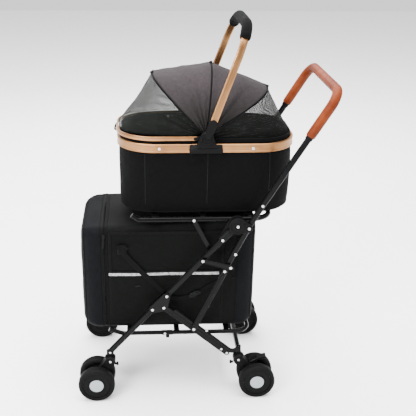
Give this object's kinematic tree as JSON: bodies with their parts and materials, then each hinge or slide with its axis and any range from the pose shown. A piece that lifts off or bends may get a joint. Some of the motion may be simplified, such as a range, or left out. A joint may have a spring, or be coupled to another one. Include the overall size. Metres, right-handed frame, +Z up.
{
  "type": "pet stroller",
  "caption": "Folding pet stroller: a lift-off carrier with domed canopy and carry handle rides above a large zipped bag on a black tube frame with push handle and casters.",
  "frame": {"origin": "on the floor, below the middle of the stroller's bounding box", "axes": "+X forwards, +Y to the stroller's left, +Z up"},
  "size_m": [0.8115, 0.498, 1.2224],
  "materials": {
    "black_steel": "satin",
    "black_plastic": "matte",
    "bag_fabric": "matte",
    "carrier_fabric": "matte",
    "pad_fabric": "matte",
    "canopy_fabric": "matte",
    "net_fabric": "matte",
    "tan_leather": "satin",
    "black_foam": "matte",
    "gold_aluminium": "satin",
    "tyre_rubber": "matte",
    "hub_plastic": "satin"
  },
  "bodies": {
    "chassis": {"front_leg_left": "black_steel", "front_leg_right": "black_steel", "hinge_plate_left": "black_plastic", "hinge_plate_right": "black_plastic", "leg_bracket_left": "black_steel", "leg_bracket_right": "black_steel", "top_rack": "black_steel", "lower_rack": "black_steel", "lower_bag": "bag_fabric"},
    "push_handle": {"push_tube_left": "black_steel", "push_tube_right": "black_steel", "push_grip": "tan_leather", "hinge_cover_left": "black_plastic", "hinge_cover_right": "black_plastic"},
    "rear_legs": {"rear_leg_left": "black_steel", "rear_leg_right": "black_steel", "rear_crossbar": "black_steel", "rear_wheel_mount_left": "black_plastic", "rear_wheel_mount_right": "black_plastic"},
    "carrier": {"carrier_rim": "gold_aluminium", "carrier_body": "carrier_fabric", "carrier_pad": "pad_fabric", "pivot_block_left": "black_plastic", "pivot_block_right": "black_plastic", "rear_bow": "black_steel", "canopy_rear": "canopy_fabric", "net_rear": "net_fabric"},
    "carry_handle": {"carry_arm_left": "gold_aluminium", "carry_arm_right": "gold_aluminium", "carry_grip": "black_foam"},
    "mid_bow": {"mid_bow": "black_steel", "canopy_front": "canopy_fabric"},
    "front_bow": {"front_bow": "black_steel", "net_front": "net_fabric"},
    "lid_bow": {"lid_bow": "gold_aluminium"},
    "lower_brace_left": {"lower_brace_left": "black_steel"},
    "latch_bar_left": {"latch_bar_left": "black_steel"},
    "front_caster_left": {"front_caster_left": "black_plastic"},
    "brake_pedal_left": {"brake_pedal_left": "black_plastic"},
    "lower_brace_right": {"lower_brace_right": "black_steel"},
    "latch_bar_right": {"latch_bar_right": "black_steel"},
    "front_caster_right": {"front_caster_right": "black_plastic"},
    "brake_pedal_right": {"brake_pedal_right": "black_plastic"},
    "front_left_outer_wheel": {"front_left_outer_tyre": "tyre_rubber", "front_left_outer_hub": "hub_plastic"},
    "front_left_inner_wheel": {"front_left_inner_tyre": "tyre_rubber", "front_left_inner_hub": "hub_plastic"},
    "front_right_outer_wheel": {"front_right_outer_tyre": "tyre_rubber", "front_right_outer_hub": "hub_plastic"},
    "front_right_inner_wheel": {"front_right_inner_tyre": "tyre_rubber", "front_right_inner_hub": "hub_plastic"},
    "rear_left_outer_wheel": {"rear_left_outer_tyre": "tyre_rubber", "rear_left_outer_hub": "hub_plastic"},
    "rear_left_inner_wheel": {"rear_left_inner_tyre": "tyre_rubber", "rear_left_inner_hub": "hub_plastic"},
    "rear_right_outer_wheel": {"rear_right_outer_tyre": "tyre_rubber", "rear_right_outer_hub": "hub_plastic"},
    "rear_right_inner_wheel": {"rear_right_inner_tyre": "tyre_rubber", "rear_right_inner_hub": "hub_plastic"}
  },
  "joints": [
    {"name": "handle_fold", "type": "hinge", "parent": "chassis", "child": "push_handle", "pos_m": [-0.105, 0, 0.612], "axis": [0, 1, 0], "range_deg": [0, 30]},
    {"name": "rear_leg_fold", "type": "hinge", "parent": "chassis", "child": "rear_legs", "pos_m": [0.1233, 0, 0.3285], "axis": [0, 1, 0], "range_deg": [0, 21.8]},
    {"name": "carrier_lift", "type": "slide", "parent": "chassis", "child": "carrier", "axis": [0, 0, -1], "range_m": [-0.12, 0]},
    {"name": "carry_handle_swing", "type": "hinge", "parent": "carrier", "child": "carry_handle", "pos_m": [-0.007, 0, 0.884], "axis": [0, 1, 0], "range_deg": [-55, 85]},
    {"name": "canopy_fold", "type": "hinge", "parent": "carrier", "child": "mid_bow", "pos_m": [-0.007, 0, 0.884], "axis": [0, 1, 0], "range_deg": [-45.5, 0], "deforming": ["canopy_rear"]},
    {"name": "front_bow_fold", "type": "hinge", "parent": "mid_bow", "child": "front_bow", "pos_m": [-0.007, 0, 0.884], "axis": [0, 1, 0], "range_deg": [-44.5, 0], "deforming": ["canopy_front"]},
    {"name": "lid_bow_fold", "type": "hinge", "parent": "front_bow", "child": "lid_bow", "pos_m": [-0.007, 0, 0.884], "axis": [0, 1, 0], "range_deg": [-37.2, 0], "deforming": ["net_front"]},
    {"name": "lower_brace_left_turn", "type": "hinge", "parent": "push_handle", "child": "lower_brace_left", "pos_m": [-0.069, 0.2, 0.457], "axis": [0, 1, 0], "range_deg": [-47.9, 0]},
    {"name": "latch_bar_left_lift", "type": "hinge", "parent": "chassis", "child": "latch_bar_left", "pos_m": [0.001, 0.2, 0.496], "axis": [0, 1, 0], "range_deg": [0, 25]},
    {"name": "front_caster_left_swivel", "type": "hinge", "parent": "chassis", "child": "front_caster_left", "pos_m": [0.3, 0.2, 0.1505], "axis": [0, 0, 1], "continuous": true},
    {"name": "brake_pedal_left_press", "type": "hinge", "parent": "rear_legs", "child": "brake_pedal_left", "pos_m": [-0.1687, 0.2, 0.116], "axis": [0, 1, 0], "range_deg": [-18, 0]},
    {"name": "lower_brace_right_turn", "type": "hinge", "parent": "push_handle", "child": "lower_brace_right", "pos_m": [-0.069, -0.2, 0.457], "axis": [0, 1, 0], "range_deg": [-47.9, 0]},
    {"name": "latch_bar_right_lift", "type": "hinge", "parent": "chassis", "child": "latch_bar_right", "pos_m": [0.001, -0.2, 0.496], "axis": [0, 1, 0], "range_deg": [0, 25]},
    {"name": "front_caster_right_swivel", "type": "hinge", "parent": "chassis", "child": "front_caster_right", "pos_m": [0.3, -0.2, 0.1505], "axis": [0, 0, 1], "continuous": true},
    {"name": "brake_pedal_right_press", "type": "hinge", "parent": "rear_legs", "child": "brake_pedal_right", "pos_m": [-0.1687, -0.2, 0.116], "axis": [0, 1, 0], "range_deg": [-18, 0]},
    {"name": "front_left_outer_spin", "type": "hinge", "parent": "front_caster_left", "child": "front_left_outer_wheel", "pos_m": [0.3457, 0.233, 0.06], "axis": [0, 1, 0], "continuous": true},
    {"name": "front_left_inner_spin", "type": "hinge", "parent": "front_caster_left", "child": "front_left_inner_wheel", "pos_m": [0.3457, 0.166, 0.06], "axis": [0, 1, 0], "continuous": true},
    {"name": "front_right_outer_spin", "type": "hinge", "parent": "front_caster_right", "child": "front_right_outer_wheel", "pos_m": [0.3457, -0.233, 0.06], "axis": [0, 1, 0], "continuous": true},
    {"name": "front_right_inner_spin", "type": "hinge", "parent": "front_caster_right", "child": "front_right_inner_wheel", "pos_m": [0.3457, -0.166, 0.06], "axis": [0, 1, 0], "continuous": true},
    {"name": "rear_left_outer_spin", "type": "hinge", "parent": "rear_legs", "child": "rear_left_outer_wheel", "pos_m": [-0.1857, 0.233, 0.06], "axis": [0, 1, 0], "continuous": true},
    {"name": "rear_left_inner_spin", "type": "hinge", "parent": "rear_legs", "child": "rear_left_inner_wheel", "pos_m": [-0.1857, 0.166, 0.06], "axis": [0, 1, 0], "continuous": true},
    {"name": "rear_right_outer_spin", "type": "hinge", "parent": "rear_legs", "child": "rear_right_outer_wheel", "pos_m": [-0.1857, -0.233, 0.06], "axis": [0, 1, 0], "continuous": true},
    {"name": "rear_right_inner_spin", "type": "hinge", "parent": "rear_legs", "child": "rear_right_inner_wheel", "pos_m": [-0.1857, -0.166, 0.06], "axis": [0, 1, 0], "continuous": true}
  ],
  "couplings": [
    {"joint": "rear_leg_fold", "follows": "handle_fold", "ratio": 0.72618},
    {"joint": "front_bow_fold", "follows": "canopy_fold", "ratio": 0.9758},
    {"joint": "lid_bow_fold", "follows": "canopy_fold", "ratio": 0.8154},
    {"joint": "lower_brace_left_turn", "follows": "handle_fold", "ratio": -1.5939},
    {"joint": "lower_brace_right_turn", "follows": "handle_fold", "ratio": -1.5939}
  ]
}
